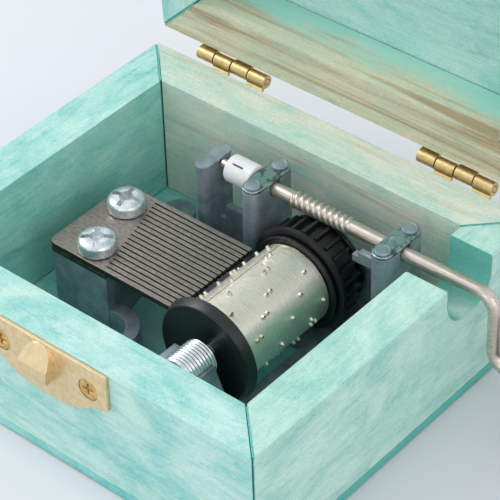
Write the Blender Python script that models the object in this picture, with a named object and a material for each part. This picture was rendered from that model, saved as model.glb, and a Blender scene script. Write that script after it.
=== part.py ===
"""Hand-cranked music box: a stained pine box with a hinged lid around a small musical movement.

Metres, +Z up. The origin is the middle of the box's underside, +X runs to the right along the
front and +Y to the back. The lid is modelled shut and then swung open about its hinge pins.
"""

import math

import bmesh
import bpy
from mathutils import Matrix, Vector

MM = 0.001

# Wooden box and lid
BOX_LENGTH = 78.5 * MM
BOX_DEPTH = 67.6 * MM
BOX_HEIGHT = 24.5 * MM
WALL = 8.0 * MM
BOARD = 1.6 * MM
GLUE_LINE = 0.2 * MM
SEAT = 0.1 * MM
LID_GAP = 0.3 * MM
LID_RAIL_HEIGHT = 9.5 * MM
LID_PANEL = 2.8 * MM
LID_OPEN_DEG = 87.0
NOTCH_RADIUS = 5.5 * MM

# Hinges: the pin's axis stands off the back face and lies just above the rim
HINGE_CENTRES = (-23.8 * MM, 23.0 * MM)
HINGE_WIDTH = 15.0 * MM
HINGE_KNUCKLES = 4
HINGE_BARREL = 1.2 * MM
HINGE_PIN = 0.55 * MM
HINGE_STANDOFF = 2.1 * MM
LEAF_THICKNESS = 0.6 * MM
LEAF_HEIGHT = 6.5 * MM
KNUCKLE_GAP = 0.25 * MM

# Catch on the front wall and hasp on the lid
CATCH_X = -0.8 * MM
CATCH_HALF_WIDTH = 12.7 * MM
CATCH_DROP = 10.3 * MM
NOSE_X = -1.1 * MM
NOSE_WIDTH = 5.8 * MM
NOSE_LOW = 17.0 * MM
NOSE_TOP = 24.3 * MM
NOSE_LIP = 21.1 * MM
NOSE_REACH = 2.4 * MM
HASP_WIDTH = 9.4 * MM
HASP_PLATE_WIDTH = 17.0 * MM
HASP_BARREL = 0.9 * MM
HASP_PIN = 0.4 * MM

# Crank: wire shaft with a two-start worm, bent down into an arm and out into a handle
SHAFT_RADIUS = 1.17 * MM
SHAFT_Y = 17.4 * MM
SHAFT_Z = 22.0 * MM
ARM_STANDOFF = 4.85 * MM
BEND_RADIUS = 3.0 * MM
THROW = 13.0 * MM
NUB_LENGTH = 2.05 * MM
COLLAR_LEFT = -8.4 * MM
COLLAR_LENGTH = 5.2 * MM
COLLAR_RADIUS = 2.37 * MM
KNOB_RADIUS = 3.5 * MM
KNOB_LENGTH = 10.0 * MM
WORM_STARTS = 2
WORM_CORE = 1.12 * MM
WORM_MAJOR = 1.5 * MM
WORM_HALF_LENGTH = 6.2 * MM

# Pinned cylinder
CYLINDER_X = 10.5 * MM
CYLINDER_Z = 12.4 * MM
SLEEVE_RADIUS = 7.1 * MM
SLEEVE_FRONT = -9.7 * MM
SLEEVE_REAR = 10.0 * MM
CAP_RADIUS = 9.3 * MM
ARBOR_RADIUS = 0.95 * MM
WHEEL_TEETH = 24
WHEEL_TIP = 8.9 * MM
WHEEL_ROOT = 8.1 * MM
WHEEL_BAND_REAR = 16.4 * MM
STUD_RADIUS = 3.25 * MM

# Comb
COMB_TOP = 16.0 * MM
COMB_THICKNESS = 1.0 * MM
COMB_TEETH = 18
COMB_FRONT = -9.65 * MM
COMB_REAR = 9.15 * MM
COMB_LEFT = -24.5 * MM
COMB_TIP_GAP = 0.7 * MM
COMB_SLOT = 0.28 * MM
COMB_CORNER = 1.3 * MM
SPACER_THICKNESS = 0.8 * MM

# Cast frame: brackets that carry the crank shaft, the stop post and the hooked front foot
BRACKET_XS = (-1.1 * MM, 25.1 * MM)
BRACKET_WIDTH = 3.6 * MM
BRACKET_LENGTH = 10.4 * MM
STRAP_THICKNESS = 0.5 * MM
RIVET_SPACING = 6.9 * MM
RUNNING_GAP = 0.15 * MM
STOP_X = -12.0 * MM
HOOK_CENTRE = (-10.5 * MM, -12.7 * MM)
HOOK_TOP = 7.3 * MM
HOOK_BOSS = (-5.6 * MM, -14.0 * MM)

HALF_X = BOX_LENGTH / 2
HALF_Y = BOX_DEPTH / 2
FLOOR = BOARD + SEAT
HINGE_Y = HALF_Y + HINGE_STANDOFF
HINGE_Z = BOX_HEIGHT + 1.5 * LID_GAP


# ---------------------------------------------------------------- modelling helpers

def place(axis, u, v, along):
    """A point given across and along one of the three axes."""
    return Vector({"X": (along, u, v), "Y": (u, along, v), "Z": (u, v, along)}[axis])


def arc(centre, radius, start, end, steps):
    """Points on an arc, from one angle to another in degrees."""
    angles = [math.radians(start + (end - start) * i / steps) for i in range(steps + 1)]
    return [(centre[0] + radius * math.cos(a), centre[1] + radius * math.sin(a)) for a in angles]


def rectangle(u0, u1, v0, v1):
    return [(u0, v0), (u1, v0), (u1, v1), (u0, v1)]


def stadium(centre, width, length, steps=6):
    """A slot-shaped outline, longer along its second direction."""
    straight = (length - width) / 2
    upper = arc((centre[0], centre[1] + straight), width / 2, 0, 180, steps)
    lower = arc((centre[0], centre[1] - straight), width / 2, 180, 360, steps)
    return upper + lower


def prism(outline, axis, start, end):
    """The outline, in the two directions across the axis, drawn along it."""
    mesh = bmesh.new()
    face = mesh.faces.new([mesh.verts.new(place(axis, u, v, start)) for u, v in outline])
    grown = bmesh.ops.extrude_face_region(mesh, geom=[face])["geom"]
    moved = [item for item in grown if isinstance(item, bmesh.types.BMVert)]
    bmesh.ops.translate(mesh, verts=moved, vec=place(axis, 0, 0, end - start))
    bmesh.ops.recalc_face_normals(mesh, faces=mesh.faces)
    return mesh


def turned(profile, axis, centre, steps=24):
    """A profile of (radius, distance along the axis) spun round. It closes on the axis or on itself."""
    mesh = bmesh.new()
    points = [mesh.verts.new(place(axis, centre[0] + r, centre[1], along)) for r, along in profile]
    follow = points[1:] if profile[0][0] == 0 else points[1:] + points[:1]
    edges = [mesh.edges.new(pair) for pair in zip(points, follow)]
    bmesh.ops.spin(
        mesh,
        geom=points + edges,
        cent=place(axis, centre[0], centre[1], 0),
        axis=place(axis, 0, 0, 1),
        angle=2 * math.pi,
        steps=steps,
        use_merge=True,
    )
    bmesh.ops.remove_doubles(mesh, verts=mesh.verts, dist=1e-7)
    bmesh.ops.recalc_face_normals(mesh, faces=mesh.faces)
    return mesh


def rod(axis, centre, radius, start, end, steps=20):
    """A plain round bar along an axis."""
    return turned([(0, start), (radius, start), (radius, end), (0, end)], axis, centre, steps)


def finish(name, colour, metallic, roughness):
    """A Principled material of one colour."""
    made = bpy.data.materials.new(name)
    made.use_nodes = True
    shader = made.node_tree.nodes["Principled BSDF"]
    shader.inputs["Base Color"].default_value = (*colour, 1)
    shader.inputs["Metallic"].default_value = metallic
    shader.inputs["Roughness"].default_value = roughness
    return made


def solid(name, mesh, made_of, parent=None):
    """An object of this mesh, shaded smooth but for its sharp edges."""
    data = bpy.data.meshes.new(name)
    mesh.to_mesh(data)
    mesh.free()
    data.shade_smooth()
    data.set_sharp_from_angle(angle=math.radians(35))
    data.materials.append(made_of)
    item = bpy.data.objects.new(name, data)
    bpy.context.scene.collection.objects.link(item)
    carry(item, parent)
    return item


def carry(item, parent):
    """Parents the item where it stands."""
    if parent:
        item.parent = parent
        item.matrix_parent_inverse = parent.matrix_basis.inverted()


def combine(item, mesh, operation):
    """Joins the mesh to the item, or cuts it away, with a Boolean that is applied at once."""
    data = bpy.data.meshes.new("tool")
    mesh.to_mesh(data)
    mesh.free()
    tool = bpy.data.objects.new("tool", data)
    bpy.context.scene.collection.objects.link(tool)
    change = item.modifiers.new(operation, "BOOLEAN")
    change.operation = operation
    change.solver = "EXACT"
    change.object = tool
    with bpy.context.temp_override(object=item, active_object=item):
        bpy.ops.object.modifier_apply(modifier=change.name)
    bpy.data.objects.remove(tool)
    bpy.data.meshes.remove(data)


def join(item, *meshes):
    for mesh in meshes:
        combine(item, mesh, "UNION")


def cut(item, *meshes):
    for mesh in meshes:
        combine(item, mesh, "DIFFERENCE")


def pivot(name, location):
    """An empty on a joint's axis."""
    empty = bpy.data.objects.new(name, None)
    empty.location = location
    empty.empty_display_size = 5 * MM
    bpy.context.scene.collection.objects.link(empty)
    return empty


# ---------------------------------------------------------------- screws

def screw_profile(head, head_height, flush, shank, length, grow=0.0):
    """A screw from its tip at -length up to the head, whose seat or top is at 0."""
    if flush:
        lower, upper = -head_height, 0.0
        seat = [(shank + grow, lower - grow), (head + grow, upper - 0.15 * MM)]
    else:
        lower, upper = 0.0, head_height
        seat = [(shank + grow, lower - grow), (head + grow, lower - grow), (head + grow, 0.45 * upper)]
    top = upper + grow
    crown = 0.75 * (head + grow)
    return [(0, -length - grow), (shank + grow, -length - grow)] + seat + [(crown, top), (0, top)]


def screw_mesh(name, made_of, head, head_height, flush, shank, length):
    """A cross-head screw along Z, shared by every copy of it."""
    profile = screw_profile(head, head_height, flush, shank, length)
    item = solid(name, turned(profile, "Z", (0, 0), 14), made_of)
    top = profile[-1][1]
    arm, half = 0.52 * head, 0.11 * head
    depth = 0.45 * head_height
    outline = [(arm, -half), (arm, half), (half, half), (half, arm), (-half, arm), (-half, half)]
    outline += [(-arm, half), (-arm, -half), (-half, -half), (-half, -arm), (half, -arm), (half, -half)]
    cut(item, prism(outline, "Z", top - depth, top + 1 * MM))
    data = item.data
    bpy.data.objects.remove(item)
    return data


def set_screw(name, data, sizes, point, direction, hosts, parent=None):
    """Drives a screw in at a point, head towards the direction, and bores its seat in each host."""
    turn = Vector((0, 0, 1)).rotation_difference(Vector(direction)).to_matrix().to_4x4()
    seat = Matrix.Translation(point) @ turn
    for host in hosts:
        hole = turned(screw_profile(*sizes, grow=SEAT), "Z", (0, 0), 14)
        hole.transform(seat)
        cut(host, hole)
    item = bpy.data.objects.new(name, data)
    item.matrix_basis = seat
    bpy.context.scene.collection.objects.link(item)
    carry(item, parent)
    return item


# ---------------------------------------------------------------- wooden box

def mitred_walls(prefix, suffix, bottom, top, wood, parent=None):
    """Four walls around the box's outline, with a glue line along each mitre."""
    shy = GLUE_LINE / math.sqrt(2)
    walls = {}
    for side, along, out, reach, depth in (
        ("front", (1, 0), (0, -1), HALF_X, HALF_Y),
        ("right", (0, 1), (1, 0), HALF_Y, HALF_X),
        ("back", (-1, 0), (0, 1), HALF_X, HALF_Y),
        ("left", (0, -1), (-1, 0), HALF_Y, HALF_X),
    ):
        corners = [(shy - reach, depth), (reach - shy, depth)]
        corners += [(reach - WALL - shy, depth - WALL), (WALL + shy - reach, depth - WALL)]
        outline = [(along[0] * a + out[0] * n, along[1] * a + out[1] * n) for a, n in corners]
        name = prefix + side + suffix
        walls[side] = solid(name, prism(outline, "Z", bottom, top), wood, parent)
    return walls


def wooden_box(wood, board_wood):
    outline = rectangle(-HALF_X, HALF_X, -HALF_Y, HALF_Y)
    board = solid("bottom_board", prism(outline, "Z", 0, BOARD), board_wood)
    walls = mitred_walls("", "_wall", BOARD + GLUE_LINE, BOX_HEIGHT, wood)
    bottom = BOX_HEIGHT - NOTCH_RADIUS / 2
    notch = [(SHAFT_Y + NOTCH_RADIUS, BOX_HEIGHT + WALL), (SHAFT_Y - NOTCH_RADIUS, BOX_HEIGHT + WALL)]
    notch += arc((SHAFT_Y, bottom), NOTCH_RADIUS, 180, 360, 16)
    cut(walls["right"], prism(notch, "X", HALF_X - 2 * WALL, HALF_X + WALL))
    return board, walls


def wooden_lid(wood, parent):
    rim = BOX_HEIGHT + LID_GAP
    top = rim + LID_RAIL_HEIGHT
    rails = mitred_walls("lid_", "_rail", rim, top, wood, parent)
    outline = rectangle(-HALF_X, HALF_X, -HALF_Y, HALF_Y)
    panel = prism(outline, "Z", top + GLUE_LINE, top + GLUE_LINE + LID_PANEL)
    solid("lid_panel", panel, wood, parent)
    return rails


# ---------------------------------------------------------------- brass fittings

def hinge_leaf(name, centre_x, side, first_knuckle, brass, parent=None):
    """One leaf: a plate on the wood, two knuckles, and a jog that carries them on the pin's axis.
    side is -1 for the leaf below the axis and +1 for the one above it."""
    back = -HINGE_STANDOFF + SEAT
    front = back + LEAF_THICKNESS
    tangent = -HINGE_BARREL
    root = 1.5 * MM
    start = centre_x - HINGE_WIDTH / 2
    pitch = HINGE_WIDTH / HINGE_KNUCKLES
    low, high = HINGE_Z + side * root, HINGE_Z + side * (root + LEAF_HEIGHT)
    plate = rectangle(HINGE_Y + back, HINGE_Y + front, low, high)
    leaf = solid(name, prism(plate, "X", start, start + HINGE_WIDTH), brass, parent)
    jog = [(back, root + 0.8 * MM), (front, root + 0.8 * MM), (front, root + 0.25 * MM)]
    jog += [(tangent + LEAF_THICKNESS, root - 0.55 * MM), (tangent + LEAF_THICKNESS, 0), (tangent, 0)]
    jog += [(tangent, root - 0.8 * MM), (back, root)]
    outline = [(HINGE_Y + y, HINGE_Z + side * z) for y, z in jog]
    for knuckle in range(first_knuckle, HINGE_KNUCKLES, 2):
        left = start + knuckle * pitch + KNUCKLE_GAP / 2
        right = left + pitch - KNUCKLE_GAP
        join(leaf, prism(outline, "X", left, right))
        join(leaf, rod("X", (HINGE_Y, HINGE_Z), HINGE_BARREL, left, right, 14))
    bore = rod("X", (HINGE_Y, HINGE_Z), HINGE_PIN + SEAT, start - MM, start + HINGE_WIDTH + MM, 12)
    cut(leaf, bore)
    return leaf


def hinges(brass, box_back, lid_back, lid_axis):
    sizes = (1.55 * MM, 0.8 * MM, True, 0.6 * MM, 5.0 * MM)
    data = screw_mesh("hinge_screw", brass, *sizes)
    for label, centre_x in zip(("left", "right"), HINGE_CENTRES):
        box_leaf = hinge_leaf("hinge_" + label + "_box_leaf", centre_x, -1, 1, brass)
        lid_leaf = hinge_leaf("hinge_" + label + "_lid_leaf", centre_x, 1, 0, brass, lid_axis)
        reach = HINGE_WIDTH / 2 - 0.1 * MM
        pin = rod("X", (HINGE_Y, HINGE_Z), HINGE_PIN, centre_x - reach, centre_x + reach, 12)
        solid("hinge_" + label + "_pin", pin, brass)
        surface = HALF_Y + SEAT + LEAF_THICKNESS
        for hand, shift in (("a", -3.9 * MM), ("b", 3.9 * MM)):
            for part, side, hosts, parent in (
                ("box", -1, (box_leaf, box_back), None),
                ("lid", 1, (lid_leaf, lid_back), lid_axis),
            ):
                point = Vector((centre_x + shift, surface, HINGE_Z + side * 4.75 * MM))
                name = "hinge_" + label + "_" + part + "_screw_" + hand
                set_screw(name, data, sizes, point, (0, 1, 0), hosts, parent)


def catch(brass, front_wall):
    """The plate on the front wall: pointed ends, a rounded apron and a blunt nose for the hasp."""
    top = BOX_HEIGHT
    back = -HALF_Y - SEAT
    front = back - LEAF_THICKNESS
    half = [(CATCH_HALF_WIDTH, 0), (CATCH_HALF_WIDTH, 0.64), (0.81 * CATCH_HALF_WIDTH, 0.70)]
    half += [(0.61 * CATCH_HALF_WIDTH, 0.85), (0.40 * CATCH_HALF_WIDTH, 0.965), (0.16 * CATCH_HALF_WIDTH, 1.0)]
    outline = [(CATCH_X + x, top - CATCH_DROP * drop) for x, drop in half]
    outline += [(CATCH_X - x, top - CATCH_DROP * drop) for x, drop in reversed(half)]
    plate = solid("catch_plate", prism(outline, "Y", front, back), brass)
    middle = (NOSE_LOW + NOSE_TOP) / 2
    nose = stadium((NOSE_X, middle), NOSE_WIDTH, NOSE_TOP - NOSE_LOW)
    join(plate, prism(nose, "Y", front - NOSE_REACH, front + LEAF_THICKNESS / 2))
    far = front - 2 * NOSE_REACH
    ramp = [(front, NOSE_TOP), (front, top + 2 * MM), (far, top + 2 * MM), (far, 2 * NOSE_LIP - NOSE_TOP)]
    cut(plate, prism(ramp, "X", NOSE_X - NOSE_WIDTH, NOSE_X + NOSE_WIDTH))
    chin = [(front - NOSE_REACH, NOSE_LOW + 2.4 * MM), (far, NOSE_LOW + 2.4 * MM), (far, NOSE_LOW - MM)]
    chin += [(front - 0.45 * NOSE_REACH, NOSE_LOW - 0.1 * MM)]
    cut(plate, prism(chin, "X", NOSE_X - NOSE_WIDTH, NOSE_X + NOSE_WIDTH))
    sizes = (2.15 * MM, 1.2 * MM, True, 0.85 * MM, 6.0 * MM)
    data = screw_mesh("catch_screw", brass, *sizes)
    for label, side in (("left", -1), ("right", 1)):
        point = Vector((CATCH_X + side * 8.95 * MM, front, BOX_HEIGHT - 4.3 * MM))
        set_screw("catch_screw_" + label, data, sizes, point, (0, -1, 0), (plate, front_wall))


def hasp(brass, lid_front, lid_axis, hasp_axis):
    """A plate on the lid, and a slotted strap that swings down over the catch's nose."""
    y, z = hasp_axis.location.y, hasp_axis.location.z
    back = -HALF_Y - SEAT
    front = back - LEAF_THICKNESS
    root = z + 1.2 * MM
    half = HASP_PLATE_WIDTH / 2
    plate_top = BOX_HEIGHT + LID_GAP + LID_RAIL_HEIGHT - 1.2 * MM
    outline = [(NOSE_X - half, root), (NOSE_X + half, root), (NOSE_X + half, plate_top - 1.5 * MM)]
    outline += [(NOSE_X + half - 1.5 * MM, plate_top), (NOSE_X - half + 1.5 * MM, plate_top)]
    outline += [(NOSE_X - half, plate_top - 1.5 * MM)]
    plate = solid("hasp_plate", prism(outline, "Y", front, back), brass, lid_axis)
    inner, outer = 1.9 * MM, 3.7 * MM
    for side in (-1, 1):
        low, high = sorted((NOSE_X + side * inner, NOSE_X + side * outer))
        join(plate, prism(rectangle(low, high, z, root + 0.5 * MM), "Y", front, back))
        join(plate, rod("X", (y, z), HASP_BARREL, low, high))
    cut(plate, rod("X", (y, z), HASP_PIN + SEAT, NOSE_X - 2 * outer, NOSE_X + 2 * outer, 12))
    reach = outer - 0.05 * MM
    pin = rod("X", (y, z), HASP_PIN, NOSE_X - reach, NOSE_X + reach, 12)
    solid("hasp_pin", pin, brass, lid_axis)

    strap_back = front - 0.2 * MM
    strap_front = strap_back - LEAF_THICKNESS
    shoulder = z - 1.1 * MM
    half = HASP_WIDTH / 2
    outline = [(NOSE_X + half, shoulder), (NOSE_X - half, shoulder)]
    outline += arc((NOSE_X, NOSE_LOW + 3.0 * MM), half, 180, 360, 12)
    strap = solid("hasp_strap", prism(outline, "Y", strap_front, strap_back), brass, hasp_axis)
    knuckle = inner - KNUCKLE_GAP
    neck = rectangle(NOSE_X - knuckle, NOSE_X + knuckle, shoulder - 0.4 * MM, z)
    join(strap, prism(neck, "Y", strap_front, strap_back))
    join(strap, rod("X", (y, z), HASP_BARREL, NOSE_X - knuckle, NOSE_X + knuckle))
    window = NOSE_WIDTH / 2 + 0.35 * MM
    window_top = BOX_HEIGHT
    slot = [(NOSE_X + window, window_top), (NOSE_X - window, window_top)]
    slot += arc((NOSE_X, NOSE_LOW + window - 0.4 * MM), window, 180, 360, 12)
    cut(strap, prism(slot, "Y", strap_front - MM, strap_back + MM))
    cut(strap, rod("X", (y, z), HASP_PIN + SEAT, NOSE_X - outer, NOSE_X + outer, 12))

    sizes = (1.55 * MM, 0.8 * MM, True, 0.6 * MM, 5.0 * MM)
    data = screw_mesh("hasp_screw", brass, *sizes)
    for label, side in (("left", -1), ("right", 1)):
        point = Vector((NOSE_X + side * 5.6 * MM, front, z + 3.9 * MM))
        set_screw("hasp_screw_" + label, data, sizes, point, (0, -1, 0), (plate, lid_front), lid_axis)


# ---------------------------------------------------------------- cast frame

def bed_outline(left, front, corner):
    """The comb's seat, whose right edge slants like the line of the tooth roots."""
    rounded = arc((left + corner, front + corner), corner, 180, 270, 4)
    return rounded + [(-12.0 * MM, front), (-17.4 * MM, COMB_REAR), (left, COMB_REAR)]


def movement_frame(zinc):
    """One zinc casting: comb bed, base, feet, shaft brackets, stop post, rear wall and front fork."""
    bed_top = COMB_TOP - COMB_THICKNESS - SPACER_THICKNESS - 2 * SEAT
    bed_left = COMB_LEFT + 0.3 * MM
    bed = bed_outline(bed_left, COMB_FRONT + 0.1 * MM, 1.0 * MM)
    frame = solid("movement_frame", prism(bed, "Z", FLOOR, bed_top), zinc)
    left, right = BRACKET_XS
    half = BRACKET_WIDTH / 2
    bracket_top = SHAFT_Z + SHAFT_RADIUS + 0.03 * MM

    base_top = FLOOR + 1.2 * MM
    base = rectangle(bed_left, right - half + MM, COMB_REAR - 2 * MM, 20.6 * MM)
    join(frame, prism(base, "Z", FLOOR, base_top))
    join(frame, rod("Z", (-24.3 * MM, 21.0 * MM), 3.0 * MM, FLOOR, base_top + 0.1 * MM))

    hook = arc(HOOK_CENTRE, 6.1 * MM, 120, -10, 12) + arc(HOOK_CENTRE, 3.8 * MM, -10, 120, 12)
    join(frame, prism(hook, "Z", FLOOR, HOOK_TOP))
    join(frame, rod("Z", HOOK_BOSS, 2.2 * MM, FLOOR, HOOK_TOP - 0.6 * MM))

    for x in BRACKET_XS:
        join(frame, prism(stadium((x, SHAFT_Y), BRACKET_WIDTH, BRACKET_LENGTH), "Z", FLOOR, bracket_top))
        slot = SHAFT_RADIUS + RUNNING_GAP
        groove = [(SHAFT_Y + slot, bracket_top + MM), (SHAFT_Y - slot, bracket_top + MM)]
        groove += arc((SHAFT_Y, SHAFT_Z), slot, 180, 360, 8)
        cut(frame, prism(groove, "X", x - 2 * half, x + 2 * half))
        for side in (-1, 1):
            centre = (x, SHAFT_Y + side * RIVET_SPACING / 2)
            cut(frame, rod("Z", centre, 0.9 * MM, bracket_top - 3 * MM, bracket_top + MM, 12))

    join(frame, prism(stadium((STOP_X, 16.9 * MM), 2.7 * MM, 7.6 * MM), "Z", FLOOR, 22.9 * MM))
    web = [(STOP_X + 0.5 * MM, FLOOR + 0.5 * MM), (left, FLOOR + 0.5 * MM), (left, 14.0 * MM)]
    web += [(-9.5 * MM, 14.0 * MM), (-9.5 * MM, 11.2 * MM), (STOP_X + 0.5 * MM, 11.2 * MM)]
    join(frame, prism(web, "Y", 16.6 * MM, 17.9 * MM))

    tab = [(right - half + 0.5 * MM, 19.0 * MM), (right - half + 0.5 * MM, 21.2 * MM)]
    tab += [(20.3 * MM, 21.2 * MM), (20.3 * MM, 20.3 * MM), (19.1 * MM, 20.3 * MM), (19.1 * MM, 19.0 * MM)]
    join(frame, prism(tab, "Y", 13.9 * MM, 15.1 * MM))

    wall = rectangle(left, right, FLOOR + 0.5 * MM, 14.6 * MM)
    join(frame, prism(wall, "Y", 18.8 * MM, 20.6 * MM))

    rail = rectangle(14.5 * MM, 18.0 * MM, -17.4 * MM, COMB_REAR)
    join(frame, prism(rail, "Z", FLOOR, 3.2 * MM))
    saddle = STUD_RADIUS + SEAT
    fork = [(6.0 * MM, FLOOR), (19.4 * MM, FLOOR), (15.9 * MM, 8.9 * MM), (14.6 * MM, 11.9 * MM)]
    fork += [(14.2 * MM, 13.2 * MM)]
    fork += arc((CYLINDER_X, CYLINDER_Z), saddle, 14, -195, 14)
    fork += [(7.1 * MM, 13.4 * MM), (6.0 * MM, 13.4 * MM)]
    join(frame, prism(fork, "Y", -17.5 * MM, -13.4 * MM))
    cut(frame, rod("Y", (CYLINDER_X, CYLINDER_Z), ARBOR_RADIUS + RUNNING_GAP, 18 * MM, 22 * MM, 16))
    return frame


def bearings(zinc, steel):
    """Straps riveted over the shaft, and the ribbed stud that carries the cylinder's front end."""
    bottom = SHAFT_Z + SHAFT_RADIUS + 0.13 * MM
    top = bottom + STRAP_THICKNESS
    for label, x in zip(("left", "right"), BRACKET_XS):
        outline = stadium((x, SHAFT_Y), BRACKET_WIDTH, BRACKET_LENGTH)
        strap = solid("bearing_strap_" + label, prism(outline, "Z", bottom, top), steel)
        for end, side in (("front", -1), ("back", 1)):
            centre = (x, SHAFT_Y + side * RIVET_SPACING / 2)
            cut(strap, rod("Z", centre, 0.9 * MM, bottom - MM, top + MM, 12))
            dome = [(0, top - 3 * MM), (0.75 * MM, top - 3 * MM), (0.75 * MM, top + 0.06 * MM)]
            dome += [(1.37 * MM, top + 0.06 * MM), (1.3 * MM, top + 0.25 * MM)]
            dome += [(0.9 * MM, top + 0.4 * MM), (0, top + 0.45 * MM)]
            solid("rivet_" + label + "_" + end, turned(dome, "Z", centre, 16), zinc)
    stud = [(0, -18.5 * MM), (STUD_RADIUS - 0.3 * MM, -18.5 * MM), (STUD_RADIUS, -18.2 * MM)]
    bore = ARBOR_RADIUS + RUNNING_GAP
    stud += [(STUD_RADIUS, -12.3 * MM), (STUD_RADIUS - 0.3 * MM, -12.05 * MM)]
    stud += [(bore, -12.05 * MM), (bore, -16.0 * MM), (0, -16.0 * MM)]
    solid("bearing_stud", turned(stud, "Y", (CYLINDER_X, CYLINDER_Z), 28), zinc)


# ---------------------------------------------------------------- comb

def comb(steel, spacer_steel, screw_steel, frame):
    bottom = COMB_TOP - COMB_THICKNESS
    tip = CYLINDER_X - SLEEVE_RADIUS - COMB_TIP_GAP
    pitch = (COMB_REAR - COMB_FRONT) / COMB_TEETH
    outline = arc((COMB_LEFT + COMB_CORNER, COMB_FRONT + COMB_CORNER), COMB_CORNER, 180, 270, 4)
    for tooth in range(COMB_TEETH):
        outline.append((tip, COMB_FRONT + tooth * pitch + (COMB_SLOT / 2 if tooth else 0)))
        rear = COMB_FRONT + (tooth + 1) * pitch
        if tooth + 1 == COMB_TEETH:
            outline.append((tip, rear))
            continue
        root = -12.3 * MM - 5.4 * MM * (rear - COMB_FRONT) / (COMB_REAR - COMB_FRONT)
        outline.append((tip, rear - COMB_SLOT / 2))
        outline.append((root, rear - COMB_SLOT / 2))
        outline.append((root, rear + COMB_SLOT / 2))
    outline.append((COMB_LEFT, COMB_REAR))
    plate = solid("comb", prism(outline, "Z", bottom, COMB_TOP), steel)
    spacer_top = bottom - SEAT
    flush = bed_outline(COMB_LEFT, COMB_FRONT, COMB_CORNER)
    spacer = solid("comb_spacer", prism(flush, "Z", spacer_top - SPACER_THICKNESS, spacer_top), spacer_steel)
    sizes = (3.25 * MM, 2.4 * MM, False, 1.2 * MM, 7.0 * MM)
    data = screw_mesh("comb_screw", screw_steel, *sizes)
    for label, x, y in (("rear", -20.1, 4.4), ("front", -16.8, -6.1)):
        point = Vector((x * MM, y * MM, COMB_TOP + SEAT))
        set_screw("comb_screw_" + label, data, sizes, point, (0, 0, 1), (plate, spacer, frame))


# ---------------------------------------------------------------- pinned cylinder

def wheel_outline():
    """A trapezoid tooth for each step round, one of them straight up under the worm."""
    outline = []
    for tooth in range(WHEEL_TEETH):
        middle = math.pi / 2 + 2 * math.pi * tooth / WHEEL_TEETH
        for radius, width in ((WHEEL_ROOT, 0.9 * MM), (WHEEL_TIP, 0.5 * MM)):
            half = width / 2 / radius
            sides = (middle - half, middle + half)
            pair = [(CYLINDER_X + radius * math.cos(a), CYLINDER_Z + radius * math.sin(a)) for a in sides]
            if radius == WHEEL_ROOT:
                low, high = pair
            else:
                outline += [low, pair[0], pair[1], high]
    return outline


def cylinder(nickel, plastic, steel, axis):
    centre = (CYLINDER_X, CYLINDER_Z)
    bore = ARBOR_RADIUS + SEAT
    plug = SLEEVE_RADIUS - 0.6 * MM
    tube = [(plug + SEAT, SLEEVE_FRONT), (SLEEVE_RADIUS, SLEEVE_FRONT)]
    tube += [(SLEEVE_RADIUS, SLEEVE_REAR), (plug + SEAT, SLEEVE_REAR)]
    solid("cylinder_sleeve", turned(tube, "Y", centre, 40), nickel, axis)

    seat = SLEEVE_FRONT - 0.2 * MM
    lip = seat - 1.9 * MM
    cap = [(bore, lip + 1.4 * MM), (3.6 * MM, lip + 1.4 * MM), (CAP_RADIUS - 1.25 * MM, lip + 0.45 * MM)]
    cap += [(CAP_RADIUS - 0.85 * MM, lip), (CAP_RADIUS - 0.7 * MM, lip)]
    cap += [(CAP_RADIUS - 0.55 * MM, lip + 0.15 * MM)]
    cap += [(CAP_RADIUS, seat - 0.15 * MM), (CAP_RADIUS - 0.1 * MM, seat), (plug, seat)]
    cap += [(plug, SLEEVE_FRONT + 1.5 * MM), (bore, SLEEVE_FRONT + 1.5 * MM)]
    solid("front_cap", turned(cap, "Y", centre, 40), plastic, axis)

    seat = SLEEVE_REAR + 0.2 * MM
    body = [(0, SLEEVE_REAR - 1.5 * MM), (plug, SLEEVE_REAR - 1.5 * MM), (plug, seat), (8.2 * MM, seat)]
    body += [(8.2 * MM, 10.7 * MM), (7.6 * MM, 10.7 * MM), (7.6 * MM, 11.2 * MM), (9.2 * MM, 11.2 * MM)]
    body += [(9.2 * MM, 12.1 * MM), (7.9 * MM, 12.1 * MM), (7.9 * MM, 16.2 * MM), (7.2 * MM, 16.6 * MM)]
    body += [(7.2 * MM, 17.2 * MM), (8.0 * MM, 17.2 * MM), (8.0 * MM, 18.0 * MM), (0, 18.0 * MM)]
    wheel = solid("drive_wheel", turned(body, "Y", centre, 32), plastic, axis)
    join(wheel, prism(wheel_outline(), "Y", 12.4 * MM, WHEEL_BAND_REAR))
    cut(wheel, rod("Y", centre, bore, 5 * MM, 20 * MM, 20))

    solid("cylinder_arbor", rod("Y", centre, ARBOR_RADIUS, -15.7 * MM, 20.5 * MM), steel, axis)


# ---------------------------------------------------------------- crank

def worm_radius(x, angle):
    """Two threads round the shaft, with a valley where the wheel's top tooth meets them."""
    pitch = 2 * math.pi * WHEEL_TIP / (WHEEL_TEETH * WORM_STARTS)
    contact = math.atan2(CYLINDER_Z + WHEEL_TIP - SHAFT_Z, WHEEL_BAND_REAR - SHAFT_Y)
    turns = (x - CYLINDER_X) / pitch - WORM_STARTS * (angle - contact) / (2 * math.pi)
    from_ridge = abs((turns % 1.0) - 0.5) * pitch
    half_tip, half_base = 0.1 * MM, 0.28 * MM
    rise = (half_base - from_ridge) / (half_base - half_tip)
    return WORM_CORE + (WORM_MAJOR - WORM_CORE) * min(max(rise, 0.0), 1.0)


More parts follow.
